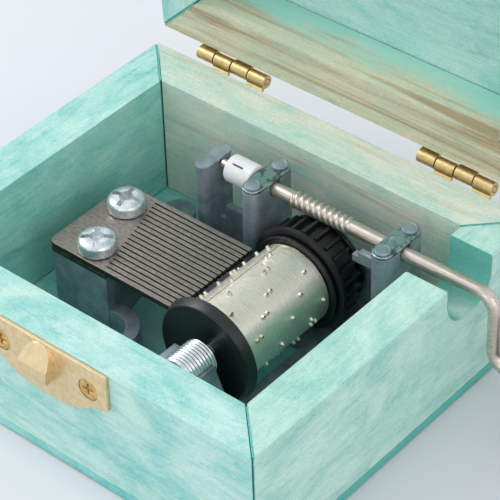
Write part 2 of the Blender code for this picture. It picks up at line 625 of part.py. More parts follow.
def crank_stations():
    """(centre, direction, radius or None on the worm) along the wire, from the stop to the handle's tip."""
    right, down = Vector((1, 0, 0)), Vector((0, 0, -1))
    nub_end = COLLAR_LEFT
    nub_start = nub_end - NUB_LENGTH
    worm_start, worm_end = CYLINDER_X - WORM_HALF_LENGTH, CYLINDER_X + WORM_HALF_LENGTH
    stations = []
    nub = ((nub_start, 0.6 * MM), (nub_start + 0.2 * MM, 0.8 * MM), (nub_end, 0.8 * MM))
    for x, radius in (*nub, (nub_end, SHAFT_RADIUS)):
        stations.append((Vector((x, SHAFT_Y, SHAFT_Z)), right, radius))
    stations.append((Vector((worm_start - 0.4 * MM, SHAFT_Y, SHAFT_Z)), right, SHAFT_RADIUS))
    steps = 62
    for step in range(steps + 1):
        x = worm_start + (worm_end - worm_start) * step / steps
        radius = WORM_CORE if step in (0, steps) else None
        stations.append((Vector((x, SHAFT_Y, SHAFT_Z)), right, radius))
    stations.append((Vector((worm_end + 0.4 * MM, SHAFT_Y, SHAFT_Z)), right, SHAFT_RADIUS))
    arm_x = HALF_X + ARM_STANDOFF
    bend = 6
    for step in range(bend + 1):
        angle = math.pi / 2 * step / bend
        shift = Vector((math.sin(angle), 0, math.cos(angle))) * BEND_RADIUS
        centre = Vector((arm_x - BEND_RADIUS, SHAFT_Y, SHAFT_Z - BEND_RADIUS))
        stations.append((centre + shift, right * math.cos(angle) + down * math.sin(angle), SHAFT_RADIUS))
    for step in range(bend + 1):
        angle = math.pi / 2 * step / bend
        shift = Vector((-math.cos(angle), 0, -math.sin(angle))) * BEND_RADIUS
        centre = Vector((arm_x + BEND_RADIUS, SHAFT_Y, SHAFT_Z - THROW + BEND_RADIUS))
        stations.append((centre + shift, down * math.cos(angle) + right * math.sin(angle), SHAFT_RADIUS))
    tip = arm_x + BEND_RADIUS + 1.2 * MM + KNOB_LENGTH + 1.6 * MM
    stations.append((Vector((tip, SHAFT_Y, SHAFT_Z - THROW)), right, SHAFT_RADIUS))
    return stations


def crank_shaft(steel, axis):
    """A closed skin of rings along the wire. Rings lie square to it, with one vertex towards +Y."""
    mesh = bmesh.new()
    sides = 16
    across = Vector((0, 1, 0))
    rings = []
    for centre, direction, radius in crank_stations():
        other = direction.cross(across)
        ring = []
        for side in range(sides):
            angle = 2 * math.pi * side / sides
            reach = worm_radius(centre.x, angle) if radius is None else radius
            ring.append(mesh.verts.new(centre + (across * math.cos(angle) + other * math.sin(angle)) * reach))
        rings.append(ring)
    for near, far in zip(rings, rings[1:]):
        for side in range(sides):
            after = (side + 1) % sides
            mesh.faces.new((near[side], near[after], far[after], far[side]))
    mesh.faces.new(rings[0])
    mesh.faces.new(rings[-1])
    bmesh.ops.recalc_face_normals(mesh, faces=mesh.faces)
    return solid("crank_shaft", mesh, steel, axis)


def crank(steel, nylon, plastic, axis, knob_axis):
    crank_shaft(steel, axis)
    bore = SHAFT_RADIUS + SEAT
    end = COLLAR_LEFT + COLLAR_LENGTH
    bevel = 0.15 * MM
    ring = [(bore, COLLAR_LEFT), (COLLAR_RADIUS - bevel, COLLAR_LEFT), (COLLAR_RADIUS, COLLAR_LEFT + bevel)]
    ring += [(COLLAR_RADIUS, end - bevel), (COLLAR_RADIUS - bevel, end), (bore, end)]
    collar = solid("shaft_collar", turned(ring, "X", (SHAFT_Y, SHAFT_Z), 28), nylon, axis)
    outline = rectangle(-0.18 * MM, 0.18 * MM, 0, 2 * COLLAR_RADIUS)
    slit = prism(outline, "X", COLLAR_LEFT + 1.1 * MM, end - 1.8 * MM)
    slit.transform(Matrix.Translation((0, SHAFT_Y, SHAFT_Z)) @ Matrix.Rotation(math.radians(30), 4, "X"))
    cut(collar, slit)

    start = HALF_X + ARM_STANDOFF + BEND_RADIUS + 1.0 * MM
    end = start + KNOB_LENGTH
    centre = (SHAFT_Y, SHAFT_Z - THROW)
    bore = SHAFT_RADIUS + RUNNING_GAP
    slim, full = 0.68 * KNOB_RADIUS, KNOB_RADIUS
    knob = [(bore, start), (slim, start), (slim, start + 1.4 * MM), (0.9 * full, start + 4.0 * MM)]
    knob += [(full, start + 6.5 * MM), (0.97 * full, start + 8.4 * MM), (0.8 * full, end - 0.3 * MM)]
    knob += [(0.7 * full, end), (bore, end)]
    solid("crank_knob", turned(knob, "X", centre, 28), plastic, knob_axis)
    bore = SHAFT_RADIUS + SEAT
    nut = [(bore, end + 0.2 * MM), (2.1 * MM, end + 0.2 * MM)]
    nut += [(2.0 * MM, end + 1.0 * MM), (bore, end + 1.1 * MM)]
    solid("knob_retainer", turned(nut, "X", centre, 20), steel, axis)


def mounting_screws(steel, board, frame):
    """Three screws from below, countersunk in the bottom board, that hold the casting down."""
    sizes = (2.2 * MM, 1.0 * MM, True, 0.8 * MM, 2.6 * MM)
    data = screw_mesh("mounting_screw", steel, *sizes)
    for label, x, y in (("front", -5.6, -14.0), ("left", -24.3, 21.0), ("right", 20.5, 14.0)):
        point = Vector((x * MM, y * MM, 0.15 * MM))
        set_screw("mounting_screw_" + label, data, sizes, point, (0, 0, -1), (board, frame))


def build():
    for item in list(bpy.data.objects):
        bpy.data.objects.remove(item)
    pine = finish("stained_pine", (0.45, 0.75, 0.68), 0.0, 0.65)
    board_pine = finish("stained_board", (0.25, 0.68, 0.72), 0.0, 0.65)
    brass = finish("satin_brass", (0.62, 0.47, 0.22), 1.0, 0.35)
    zinc = finish("cast_zinc", (0.42, 0.44, 0.46), 0.9, 0.5)
    plated = finish("zinc_plated_steel", (0.6, 0.6, 0.6), 1.0, 0.3)
    nickel = finish("nickel", (0.7, 0.68, 0.62), 1.0, 0.2)
    comb_steel = finish("comb_steel", (0.25, 0.22, 0.2), 0.9, 0.5)
    dark_steel = finish("dark_steel", (0.08, 0.08, 0.08), 0.8, 0.5)
    nylon = finish("white_nylon", (0.85, 0.84, 0.8), 0.0, 0.5)
    plastic = finish("black_plastic", (0.02, 0.02, 0.022), 0.0, 0.35)

    lid_axis = pivot("lid_axis", (0, HINGE_Y, HINGE_Z))
    hasp_axis = pivot("hasp_axis", (0, -HALF_Y - 1.3 * MM, BOX_HEIGHT + 1.9 * MM))
    crank_axis = pivot("crank_axis", (0, SHAFT_Y, SHAFT_Z))
    knob_axis = pivot("knob_axis", (0, SHAFT_Y, SHAFT_Z - THROW))
    cylinder_axis = pivot("cylinder_axis", (CYLINDER_X, 0, CYLINDER_Z))
    carry(hasp_axis, lid_axis)
    carry(knob_axis, crank_axis)

    board, walls = wooden_box(pine, board_pine)
    rails = wooden_lid(pine, lid_axis)
    hinges(brass, walls["back"], rails["back"], lid_axis)
    catch(brass, walls["front"])
    hasp(brass, rails["front"], lid_axis, hasp_axis)

    frame = movement_frame(zinc)
    bearings(zinc, plated)
    comb(comb_steel, dark_steel, plated, frame)
    cylinder(nickel, plastic, plated, cylinder_axis)
    crank(nickel, nylon, plastic, crank_axis, knob_axis)
    mounting_screws(plated, board, frame)

    lid_axis.rotation_euler.x = -math.radians(LID_OPEN_DEG)


build()
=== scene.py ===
"""Looks of a hand-cranked music box: stained pine box, brass fittings and a small musical movement."""

import math

import bpy
from mathutils import Matrix, Vector


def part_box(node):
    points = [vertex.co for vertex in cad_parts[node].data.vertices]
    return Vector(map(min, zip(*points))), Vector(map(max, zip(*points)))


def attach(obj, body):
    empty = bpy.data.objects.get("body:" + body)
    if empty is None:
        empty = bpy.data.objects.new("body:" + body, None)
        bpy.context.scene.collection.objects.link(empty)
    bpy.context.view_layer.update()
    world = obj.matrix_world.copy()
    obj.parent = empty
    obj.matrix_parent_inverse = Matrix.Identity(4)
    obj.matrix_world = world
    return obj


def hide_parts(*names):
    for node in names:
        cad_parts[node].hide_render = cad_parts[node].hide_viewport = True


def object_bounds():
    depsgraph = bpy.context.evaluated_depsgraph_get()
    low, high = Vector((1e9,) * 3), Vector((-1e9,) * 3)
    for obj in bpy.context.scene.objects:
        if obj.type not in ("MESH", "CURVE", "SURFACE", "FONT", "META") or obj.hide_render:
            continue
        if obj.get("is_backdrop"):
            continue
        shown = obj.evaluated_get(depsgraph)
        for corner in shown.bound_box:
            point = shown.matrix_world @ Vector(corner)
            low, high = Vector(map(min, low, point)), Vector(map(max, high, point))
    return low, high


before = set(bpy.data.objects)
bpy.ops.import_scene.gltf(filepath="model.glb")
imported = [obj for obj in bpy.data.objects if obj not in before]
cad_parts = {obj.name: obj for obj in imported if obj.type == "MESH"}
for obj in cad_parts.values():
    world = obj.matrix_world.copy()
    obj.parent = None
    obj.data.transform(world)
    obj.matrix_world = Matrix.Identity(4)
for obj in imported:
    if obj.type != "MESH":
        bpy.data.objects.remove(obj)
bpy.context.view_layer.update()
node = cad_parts
MM = 0.001


# ---------------------------------------------------------------- walls of the box
# Four mitred pine boards, sanded by machine and rubbed with a thin turquoise stain that leaves pale
# wood between blotches. Their edges are eased with abrasive paper.

EASED_EDGE = 0.35 * MM
FIBRE_ACROSS = 0.32 * MM
FIBRE_ALONG = 9 * MM
BLOTCH = 7 * MM
STREAK = 3.2 * MM
FLECK = 0.8 * MM
SANDING = 0.3 * MM  # real grit is finer, and this is as fine as shows


def linear(code):
    """An sRGB hex colour as the linear one that a shader takes."""
    parts = [int(code[at:at + 2], 16) / 255 for at in (1, 3, 5)]
    return (*[c / 12.92 if c <= 0.04045 else ((c + 0.055) / 1.055) ** 2.4 for c in parts], 1.0)


def add(material, kind, inputs=None, **settings):
    """Adds a shader node. Each input takes a value, an output, or a node, whose first output in use
    feeds it."""
    made = material.node_tree.nodes.new(kind)
    for name, value in settings.items():
        setattr(made, name, value)
    for socket, value in (inputs or {}).items():
        if isinstance(value, bpy.types.Node):
            value = next(output for output in value.outputs if output.enabled)
        if isinstance(value, bpy.types.NodeSocket):
            material.node_tree.links.new(value, made.inputs[socket])
        else:
            made.inputs[socket].default_value = value
    return made


def bare_material(name):
    """A new material with no shader nodes yet."""
    material = bpy.data.materials.new(name)
    material.use_nodes = True
    material.node_tree.nodes.clear()
    return material


def finish(material, inputs):
    """Gives the material its surface, with these inputs on the shader's own sockets."""
    shader = add(material, "ShaderNodeBsdfPrincipled", inputs)
    add(material, "ShaderNodeOutputMaterial", {"Surface": shader})


def patches(material, across, along, grain, seed, low, high, detail=3.0, roughness=0.55, distortion=0.0):
    """A cloudy pattern whose patches have this real size, with their length along one axis. The parts
    of it below low are 0, and those above high are 1."""
    scale = [1 / across] * 3
    scale["XYZ".index(grain)] = 1 / along
    place = add(material, "ShaderNodeTexCoord").outputs["Object"]
    sized = {"Vector": place, "Scale": scale, "Location": (seed, seed, seed)}
    place = add(material, "ShaderNodeMapping", sized)
    cloud = {"Vector": place, "Scale": 1.0, "Detail": detail, "Roughness": roughness}
    cloud = add(material, "ShaderNodeTexNoise", {**cloud, "Distortion": distortion})
    return add(material, "ShaderNodeMapRange", {"Value": cloud, "From Min": low, "From Max": high})


def tinted(material, colour, share, tint, amount=1.0, mode="MIX"):
    """Lays a tint over a colour. Share is the pattern that says where, and amount says how strongly."""
    if isinstance(colour, str):
        colour = linear(colour)
    strength = add(material, "ShaderNodeMath", {0: share, 1: amount}, operation="MULTIPLY")
    # On colours, this node's own two inputs are its sixth and seventh.
    layers = {0: strength, 6: colour, 7: linear(tint)}
    return add(material, "ShaderNodeMix", layers, data_type="RGBA", blend_type=mode)


def stained_pine(name, grain, pale, stain, deep, tan, tan_low, seed, inside=None, pool=None):
    """Sanded pine under a thin matt stain, in blotches that go deeper here and there. Flecks of pale
    wood are rubbed bare, the late wood is brown streaks, and end grain drinks the most stain. Inside is
    the axis that the inner face looks along, the normals between which it is tinted, and the tint. Pool
    is the colour of stain that gathered under the lid's panel, and where it begins and is full."""
    pine = bare_material(name)
    fibre = patches(pine, FIBRE_ACROSS, FIBRE_ALONG, grain, seed, 0.3, 0.7, 4)
    blotches = patches(pine, BLOTCH, 1.9 * BLOTCH, grain, seed + 3.1, 0.38, 0.64, 6, 0.66, 0.8)
    deeper = patches(pine, 0.5 * BLOTCH, 2.4 * BLOTCH, grain, seed + 7.7, 0.52, 0.72, 6, 0.68, 0.9)
    flecks = patches(pine, FLECK, 2.2 * FLECK, grain, seed + 17.0, 0.4, 0.62, 5, 0.7)
    tan_high = tan_low + 0.16
    streaks = patches(pine, STREAK, 18 * STREAK, grain, seed + 11.3, tan_low, tan_high, 5, 0.66, 0.6)
    speckle = patches(pine, SANDING, SANDING, grain, seed + 5.9, 0.35, 0.65, 3)
    colour = tinted(pine, pale, blotches, stain)
    colour = tinted(pine, colour, deeper, deep, 0.7)
    colour = tinted(pine, colour, flecks, pale, 0.4)
    colour = tinted(pine, colour, streaks, tan, 0.75)
    place = add(pine, "ShaderNodeTexCoord")
    facing = add(pine, "ShaderNodeSeparateXYZ", {0: place.outputs["Normal"]})
    end = add(pine, "ShaderNodeMath", {0: facing.outputs[grain]}, operation="ABSOLUTE")
    end = add(pine, "ShaderNodeMapRange", {"Value": end, "From Min": 0.1, "From Max": 0.5})
    colour = tinted(pine, colour, end, "#4fb0a4", 0.85)
    if inside:
        axis, low, high, tint = inside
        inner = {"Value": facing.outputs[axis], "From Min": low, "From Max": high}
        colour = tinted(pine, colour, add(pine, "ShaderNodeMapRange", inner), tint, mode="MULTIPLY")
    colour = tinted(pine, colour, fibre, "#3f8f86", 0.16, "MULTIPLY")
    colour = tinted(pine, colour, speckle, "#6b6a52", 0.16, "MULTIPLY")
    if pool:
        tint, begins, full = pool
        depth = add(pine, "ShaderNodeSeparateXYZ", {0: place.outputs["Object"]}).outputs["Y"]
        uneven = patches(pine, 5 * MM, 22 * MM, "X", 3.0, 0.3, 0.7, 5, 0.6)
        reach = add(pine, "ShaderNodeMath", {0: uneven, 1: 5 * MM, 2: depth}, operation="MULTIPLY_ADD")
        reach = add(pine, "ShaderNodeMapRange", {"Value": reach, "From Min": begins, "From Max": full})
        upward = {0: reach, 1: facing.outputs["Z"]}
        pooled = add(pine, "ShaderNodeMath", upward, operation="MULTIPLY", use_clamp=True)
        colour = tinted(pine, colour, pooled, tint, 0.85)
    height = add(pine, "ShaderNodeMath", {0: fibre, 1: speckle}, operation="ADD")
    bump = add(pine, "ShaderNodeBump", {"Height": height, "Strength": 0.4, "Distance": 0.04 * MM})
    finish(pine, {"Base Color": colour, "Roughness": 0.62, "Normal": bump})
    return pine


def clad(names, material, width):
    """Gives CAD nodes their material, and rounds their sharp edges by this width with modifiers only."""
    for name in names:
        piece = node[name]
        piece.data.materials.clear()
        piece.data.materials.append(material)
        weld = piece.modifiers.new("weld", "WELD")
        weld.merge_threshold = 0.001 * MM
        bevel = piece.modifiers.new("eased_edges", "BEVEL")
        bevel.width = width
        bevel.segments = 2
        bevel.limit_method = "ANGLE"
        bevel.angle_limit = math.radians(35)
        bevel.use_clamp_overlap = True
        normals = piece.modifiers.new("normals", "WEIGHTED_NORMAL")
        normals.keep_sharp = False
        normals.mode = "FACE_AREA_WITH_ANGLE"


front_pine = stained_pine(
    "stained_pine_front", "X", "#c8e9e0", "#8ad1ca", "#4fbdc0", "#d2c7a8", 0.66, 1.0,
    inside=("Y", 0.4, 0.9, "#cfe6dc"),
)
left_pine = stained_pine(
    "stained_pine_left", "Y", "#c3e9df", "#8dd2c9", "#4fb9b7", "#c8bc9b", 0.66, 4.0,
    inside=("X", 0.4, 0.9, "#e4fff8"),
)
back_pine = stained_pine(
    "stained_pine_back", "X", "#e2e6d6", "#b7dccd", "#84cdc2", "#c3a883", 0.57, 9.0
)
right_pine = stained_pine(
    "stained_pine_right", "Y", "#c9e8db", "#9ad2c4", "#5cb7ad", "#c6b792", 0.62, 14.0,
    inside=("X", -0.4, -0.9, "#e4fff8"),
)
clad(["front_wall"], front_pine, EASED_EDGE)
clad(["left_wall"], left_pine, EASED_EDGE)
clad(["back_wall"], back_pine, EASED_EDGE)
clad(["right_wall"], right_pine, EASED_EDGE)


# ---------------------------------------------------------------- bottom board
# A thin pine board glued under the walls. The stain pools on it, so it is the strongest turquoise.

board_pine = stained_pine(
    "stained_pine_board", "X", "#a5ded6", "#66c7c5", "#33a8b0", "#a9b69b", 0.68, 21.0
)
clad(["bottom_board"], board_pine, 0.25 * MM)


# ---------------------------------------------------------------- lid
# A mitred frame of four low pine rails under a thin pine panel, stained like the box. Brown late wood
# runs along the back and front rails, and stain gathered where the rails meet the panel.

POOL_BEGINS = 41 * MM
POOL_FULL = 45 * MM

rail_pine = stained_pine(
    "stained_pine_lid_rails", "X", "#e3d8ba", "#c0cfb4", "#93c6b4", "#a9855c", 0.46, 33.0,
    pool=("#9ddbd0", POOL_BEGINS, POOL_FULL),
)
side_pine = stained_pine(
    "stained_pine_lid_sides", "Z", "#cdeae0", "#9bd6cc", "#5fbcb7", "#c2ae87", 0.6, 37.0
)
panel_pine = stained_pine(
    "stained_pine_panel", "X", "#c6eae1", "#9bdcd2", "#6cc6c2", "#c9bd9b", 0.66, 41.0
)
clad(["lid_back_rail", "lid_front_rail"], rail_pine, EASED_EDGE)
clad(["lid_left_rail", "lid_right_rail"], side_pine, EASED_EDGE)
clad(["lid_panel"], panel_pine, EASED_EDGE)


# ---------------------------------------------------------------- glue in the mitres
# White glue squeezed into the mitred corners of the box and the lid, where it took up the turquoise
# stain and dried half matt. It fills the narrow gap between the boards.

GLUE_THICKNESS = 0.22 * MM
WALL_WIDTH = 8 * MM
FILM_LENGTH = WALL_WIDTH * math.sqrt(2) - 1.0 * MM
FILM_SHORT = 0.2 * MM
LID_GAP = 0.3 * MM
RAIL_HEIGHT = 9.5 * MM
HINGE_OUT = 2.1 * MM
HINGE_ABOVE = 0.45 * MM
LID_OPEN = math.radians(-87)

# A line a little darker than the wood beside it, so that the mitres can be seen.
glue = bare_material("stained_glue")
dried = patches(glue, 0.5 * MM, 2 * MM, "Z", 0.0, 0.35, 0.65, 3)
finish(glue, {"Base Color": tinted(glue, "#6fbfb6", dried, "#4aa69f"), "Roughness": 0.5})


def block(size, matrix):
    """A bar with these sides at this place."""
    bpy.ops.object.select_all(action="DESELECT")
    bpy.ops.mesh.primitive_cube_add(size=1, location=(0, 0, 0))
    piece = bpy.context.object
    piece.data.transform(matrix @ Matrix.Diagonal((*size, 1)))
    return piece


def dress(piece, material, slot, body, *replaced):
    """Gives a new piece its material, the body it rides on and the CAD nodes it replaces. Slot is not
    used.
    """
    piece.data.materials.clear()
    piece.data.materials.append(material)
    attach(piece, body)
    if replaced:
        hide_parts(*replaced)


box_low, box_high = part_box("left_wall")
right_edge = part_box("right_wall")[1].x
hinge = Vector((0, box_high.y + HINGE_OUT, box_high.z + HINGE_ABOVE))
opened = Matrix.Translation(hinge) @ Matrix.Rotation(LID_OPEN, 4, "X") @ Matrix.Translation(-hinge)
wall_middle = Vector((0, 0, (box_high.z + box_low.z) / 2))
rail_middle = Vector((0, 0, box_high.z + LID_GAP + RAIL_HEIGHT / 2))
for side, inward_x, outer_x in (("left", 1, box_low.x), ("right", -1, right_edge)):
    for end, inward_y, outer_y in (("front", 1, box_low.y), ("back", -1, box_high.y)):
        corner = Vector((outer_x + inward_x * WALL_WIDTH / 2, outer_y + inward_y * WALL_WIDTH / 2, 0))
        across = Matrix.Rotation(math.radians(45 * inward_x * inward_y), 4, "Z")
        film_size = (FILM_LENGTH, GLUE_THICKNESS, box_high.z - box_low.z - FILM_SHORT)
        film = block(film_size, Matrix.Translation(corner + wall_middle) @ across)
        film.name = f"mitre_glue_{side}_{end}"
        dress(film, glue, "stained_pine", "box")
        film_size = (FILM_LENGTH, GLUE_THICKNESS, RAIL_HEIGHT - FILM_SHORT)
        film = block(film_size, opened @ Matrix.Translation(corner + rail_middle) @ across)
        film.name = f"lid_glue_{side}_{end}"
        dress(film, glue, "stained_pine", "lid")


# ---------------------------------------------------------------- hinges, catch and hasp
# Pressed from sheet brass, the catch with its nose in one. The surface is satin from tumbling, a little
# mottled, and the rolled edges catch the light. The screws are brass too, with a deeper colour.

def satin_brass(name, colour, dark, roughness):
    """Tumbled sheet brass: a soft shine with faint darker mottling."""
    brass = bare_material(name)
    mottle = patches(brass, 0.9 * MM, 0.9 * MM, "X", 0.0, 0.35, 0.65, 4)
    scuffs = patches(brass, 0.15 * MM, 0.5 * MM, "X", 2.0, 0.3, 0.7, 2)
    shine = {"Value": scuffs, "To Min": roughness, "To Max": roughness + 0.16}
    rough = add(brass, "ShaderNodeMapRange", shine)
    bump = add(brass, "ShaderNodeBump", {"Height": mottle, "Strength": 0.3, "Distance": 0.02 * MM})
    colour = tinted(brass, colour, mottle, dark, 0.5)
    finish(brass, {"Base Color": colour, "Metallic": 1.0, "Roughness": rough, "Normal": bump})
    return brass


fittings = [name for name in node if name.startswith(("hinge_", "hasp_", "catch_"))]
plates = [name for name in fittings if "screw" not in name and name != "catch_plate"]
screws = [name for name in fittings if "screw" in name]
clad(plates, satin_brass("satin_brass", "#d9c08c", "#b99a5e", 0.34), 0.12 * MM)
clad(["catch_plate"], satin_brass("pressed_brass", "#ecd6ae", "#cfb587", 0.36), 0.26 * MM)
clad(screws, satin_brass("brass_screws", "#e0bf80", "#a98245", 0.3), 0.1 * MM)


# ---------------------------------------------------------------- cast frame
# One zinc die casting. Its skin is bluish grey, clouded by oxide and finely pitted from the die, so it
# shines only softly. It is screwed to the board from below.

zinc = bare_material("cast_zinc")
cloud = patches(zinc, 3 * MM, 3 * MM, "X", 0.0, 0.35, 0.65, 5)
pits = patches(zinc, 0.22 * MM, 0.22 * MM, "X", 0.0, 0.3, 0.7, 3)
colour = tinted(zinc, "#a3b0b7", cloud, "#7d8b93")
colour = tinted(zinc, colour, pits, "#6c7880", 0.35)
rough = add(zinc, "ShaderNodeMapRange", {"Value": pits, "To Min": 0.38, "To Max": 0.6})
bump = add(zinc, "ShaderNodeBump", {"Height": pits, "Strength": 0.5, "Distance": 0.03 * MM})
finish(zinc, {"Base Color": colour, "Metallic": 0.55, "Roughness": rough, "Normal": bump})
clad(["movement_frame"], zinc, 0.3 * MM)


# ---------------------------------------------------------------- shaft straps and rivets
# Small plated steel straps over the crank shaft, bright but spotted with tarnish. Each is held by two
# studs of the casting whose heads are spun over it, which leaves a ring round each head.

RIVET_HEAD = 1.35 * MM
RIVET_SHANK = 0.7 * MM
HEAD_HEIGHT = 0.42 * MM

strap_steel = bare_material("strap_steel")
tarnish = patches(strap_steel, 1.3 * MM, 1.3 * MM, "X", 0.0, 0.52, 0.66, 5)
colour = tinted(strap_steel, "#a9b4b4", tarnish, "#5f6866")
finish(strap_steel, {"Base Color": colour, "Metallic": 1.0, "Roughness": 0.32})
clad(["bearing_strap_left", "bearing_strap_right"], strap_steel, 0.12 * MM)


def lathe(name, axis, centre, profile, steps=96, sharp=32):
    """A turned piece: a disc drawn out along the axis, its rim brought to a new radius at each step.
    The profile is (radius, distance along the axis) and the centre is a point on that axis."""
    bpy.ops.object.select_all(action="DESELECT")
    radius, along = profile[0]
    bpy.ops.mesh.primitive_circle_add(vertices=steps, radius=radius, fill_type="NGON", location=(0, 0, 0))
    piece = bpy.context.object
    piece.name = name
    bpy.ops.object.mode_set(mode="EDIT")
    bpy.ops.mesh.select_all(action="SELECT")
    bpy.ops.transform.translate(value=(0, 0, along))
    for next_radius, next_along in profile[1:]:
        bpy.ops.mesh.extrude_region_move(TRANSFORM_OT_translate={"value": (0, 0, next_along - along)})
        grow = next_radius / radius
        bpy.ops.transform.resize(value=(grow, grow, 1), center_override=(0, 0, next_along))
        radius, along = next_radius, next_along
    bpy.ops.mesh.select_all(action="SELECT")
    bpy.ops.mesh.normals_make_consistent(inside=False)
    bpy.ops.object.mode_set(mode="OBJECT")
    turns = {"X": (math.pi / 2, 4, "Y"), "Y": (-math.pi / 2, 4, "X"), "Z": (0, 4, "Z")}
    piece.data.transform(Matrix.Translation(centre) @ Matrix.Rotation(*turns[axis]))
    bpy.ops.object.shade_smooth_by_angle(angle=math.radians(sharp))
    return piece


for name in [name for name in node if name.startswith("rivet_")]:
    low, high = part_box(name)
    base = high.z - HEAD_HEIGHT
    crown = [(RIVET_SHANK, low.z), (RIVET_SHANK, base)]
    crown += [(RIVET_HEAD, base), (RIVET_HEAD, base + 0.2 * MM)]
    crown += [(0.93 * RIVET_HEAD, base + 0.34 * MM), (0.78 * RIVET_HEAD, base + 0.4 * MM)]
    crown += [(0.72 * RIVET_HEAD, base + 0.34 * MM), (0.3 * RIVET_HEAD, base + HEAD_HEIGHT)]
    centre = ((low.x + high.x) / 2, (low.y + high.y) / 2, 0)
    dress(lathe(name + "_head", "Z", centre, crown, 40), zinc, "cast_zinc", "box", name)


# ---------------------------------------------------------------- comb and its spacer
# Ground spring steel, slit into eighteen teeth by thin cutters, grey brown and half matt from its
# tempering. Its faces that do not look up, those in the slits too, carry nearly black painted shade. A
# blackened spacer lies under it.

comb_steel = bare_material("comb_steel")
tempering = patches(comb_steel, 0.5 * MM, 0.9 * MM, "X", 0.0, 0.32, 0.68, 6, 0.7)
grinding = patches(comb_steel, 0.12 * MM, 2.5 * MM, "X", 3.0, 0.3, 0.7, 3)
colour = tinted(comb_steel, "#b7ada5", tempering, "#8b827b")
colour = tinted(comb_steel, colour, grinding, "#6b6058", 0.4, "MULTIPLY")
facing = add(comb_steel, "ShaderNodeTexCoord").outputs["Normal"]
upward = add(comb_steel, "ShaderNodeSeparateXYZ", {0: facing}).outputs["Z"]
# Painted shade: every face that does not look up, the sides of the teeth among them, is painted nearly
# black for the shade that fills the slits.
painted_slit_shade = add(comb_steel, "ShaderNodeMapRange", {"Value": upward, "From Min": 0.35, "From Max": 0.1})
colour = tinted(comb_steel, colour, painted_slit_shade, "#14110f", 0.85)
rough = add(comb_steel, "ShaderNodeMapRange", {"Value": tempering, "To Min": 0.34, "To Max": 0.5})
bump = add(comb_steel, "ShaderNodeBump", {"Height": grinding, "Strength": 0.25, "Distance": 0.01 * MM})
finish(comb_steel, {"Base Color": colour, "Metallic": 0.85, "Roughness": rough, "Normal": bump})
clad(["comb"], comb_steel, 0.05 * MM)

# Oil blackened steel, a dull olive grey that makes the comb above it stand out.
dark_steel = bare_material("blackened_steel")
scale = patches(dark_steel, 0.8 * MM, 0.8 * MM, "X", 0.0, 0.3, 0.7, 4)
colour = tinted(dark_steel, "#55594d", scale, "#34372f")
rough = add(dark_steel, "ShaderNodeMapRange", {"Value": scale, "To Min": 0.4, "To Max": 0.6})
finish(dark_steel, {"Base Color": colour, "Metallic": 0.8, "Roughness": rough})
clad(["comb_spacer"], dark_steel, 0.1 * MM)


# ---------------------------------------------------------------- comb screws
# Pressed pan heads, bright zinc plated, dimpled by the press and with a deep cross recess. They clamp
# the comb and its spacer on the frame. The screws that hold the frame have the same plating.

SHANK_RADIUS = 1.2 * MM
SHANK_SHOWN = 2 * MM
PAN_HEIGHT = 2.4 * MM
RECESS_DEPTH = 1.3 * MM

# Thin plating over a pressed face: nearly white, with soft highlights that wander over the dimples.
bright_zinc = bare_material("zinc_plate")
dimples = patches(bright_zinc, 1.2 * MM, 1.2 * MM, "X", 0.0, 0.3, 0.7, 3, 0.5, 0.6)
colour = tinted(bright_zinc, "#eef1f3", dimples, "#c3cacf")
rough = add(bright_zinc, "ShaderNodeMapRange", {"Value": dimples, "To Min": 0.2, "To Max": 0.38})
bump = add(bright_zinc, "ShaderNodeBump", {"Height": dimples, "Strength": 0.25, "Distance": 0.12 * MM})
finish(bright_zinc, {"Base Color": colour, "Metallic": 0.78, "Roughness": rough, "Normal": bump})


def cut_away(piece, tool):
    """Cuts one piece with another, which is then thrown away."""
    cut = piece.modifiers.new("cut", "BOOLEAN")
    cut.operation = "DIFFERENCE"
    cut.solver = "EXACT"
    cut.object = tool
    bpy.ops.object.select_all(action="DESELECT")
    bpy.context.view_layer.objects.active = piece
    piece.select_set(True)
    bpy.ops.object.modifier_apply(modifier=cut.name)
    bpy.data.objects.remove(tool)


for name, turn in (("comb_screw_rear", 12), ("comb_screw_front", 38)):
    low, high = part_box(name)
    radius = (high.x - low.x) / 2
    top, under = high.z, high.z - PAN_HEIGHT
    head = [(SHANK_RADIUS, under - SHANK_SHOWN), (SHANK_RADIUS, under), (0.97 * radius, under)]
    head += [(radius, under + 0.12 * MM), (radius, under + 1.35 * MM), (0.97 * radius, under + 1.7 * MM)]
    head += [(0.9 * radius, under + 2.0 * MM), (0.78 * radius, under + 2.22 * MM)]
    head += [(0.5 * radius, top - 0.05 * MM), (0.2 * radius, top)]
    centre = Vector(((low.x + high.x) / 2, (low.y + high.y) / 2, 0))
    screw = lathe(name + "_head", "Z", centre, head, 56, 40)
    arm, width = 0.8 * radius, 0.27 * radius
    slots = (2 * arm, width, 2 * RECESS_DEPTH), (0.8 * arm, 1.7 * width, 1.9 * RECESS_DEPTH)
    crown = Matrix.Translation(centre + Vector((0, 0, top)))
    for slot in slots:
        for angle in (turn, turn + 90):
            aim = crown @ Matrix.Rotation(math.radians(angle), 4, "Z")
            cut_away(screw, block(slot, aim))
    bpy.ops.object.shade_smooth_by_angle(angle=math.radians(30))
    dress(screw, bright_zinc, "zinc_plated_steel", "box", name)
clad([name for name in node if name.startswith("mounting_screw")], bright_zinc, 0.1 * MM)


# ---------------------------------------------------------------- pinned cylinder
# A rolled brass sleeve, nickel plated and brushed round its girth, with a butt seam along it. Its pins
# are bent up from holes, so each is a small raised collar round a dark hole.

SLEEVE_RADIUS = 7.1 * MM
SLEEVE_WALL = 0.5 * MM
SEAM_ANGLE = 110.6
SEAM_WIDTH = 0.2 * MM
SCRATCH_APART = 0.125 * MM  # real ones are finer, and this is as fine as shows
SCRATCHES_PER_TURN = 2.2  # counted in radians
PIN_TOP = 0.5 * MM
PIN_RADIUS = 0.3 * MM
TRACKS = 18

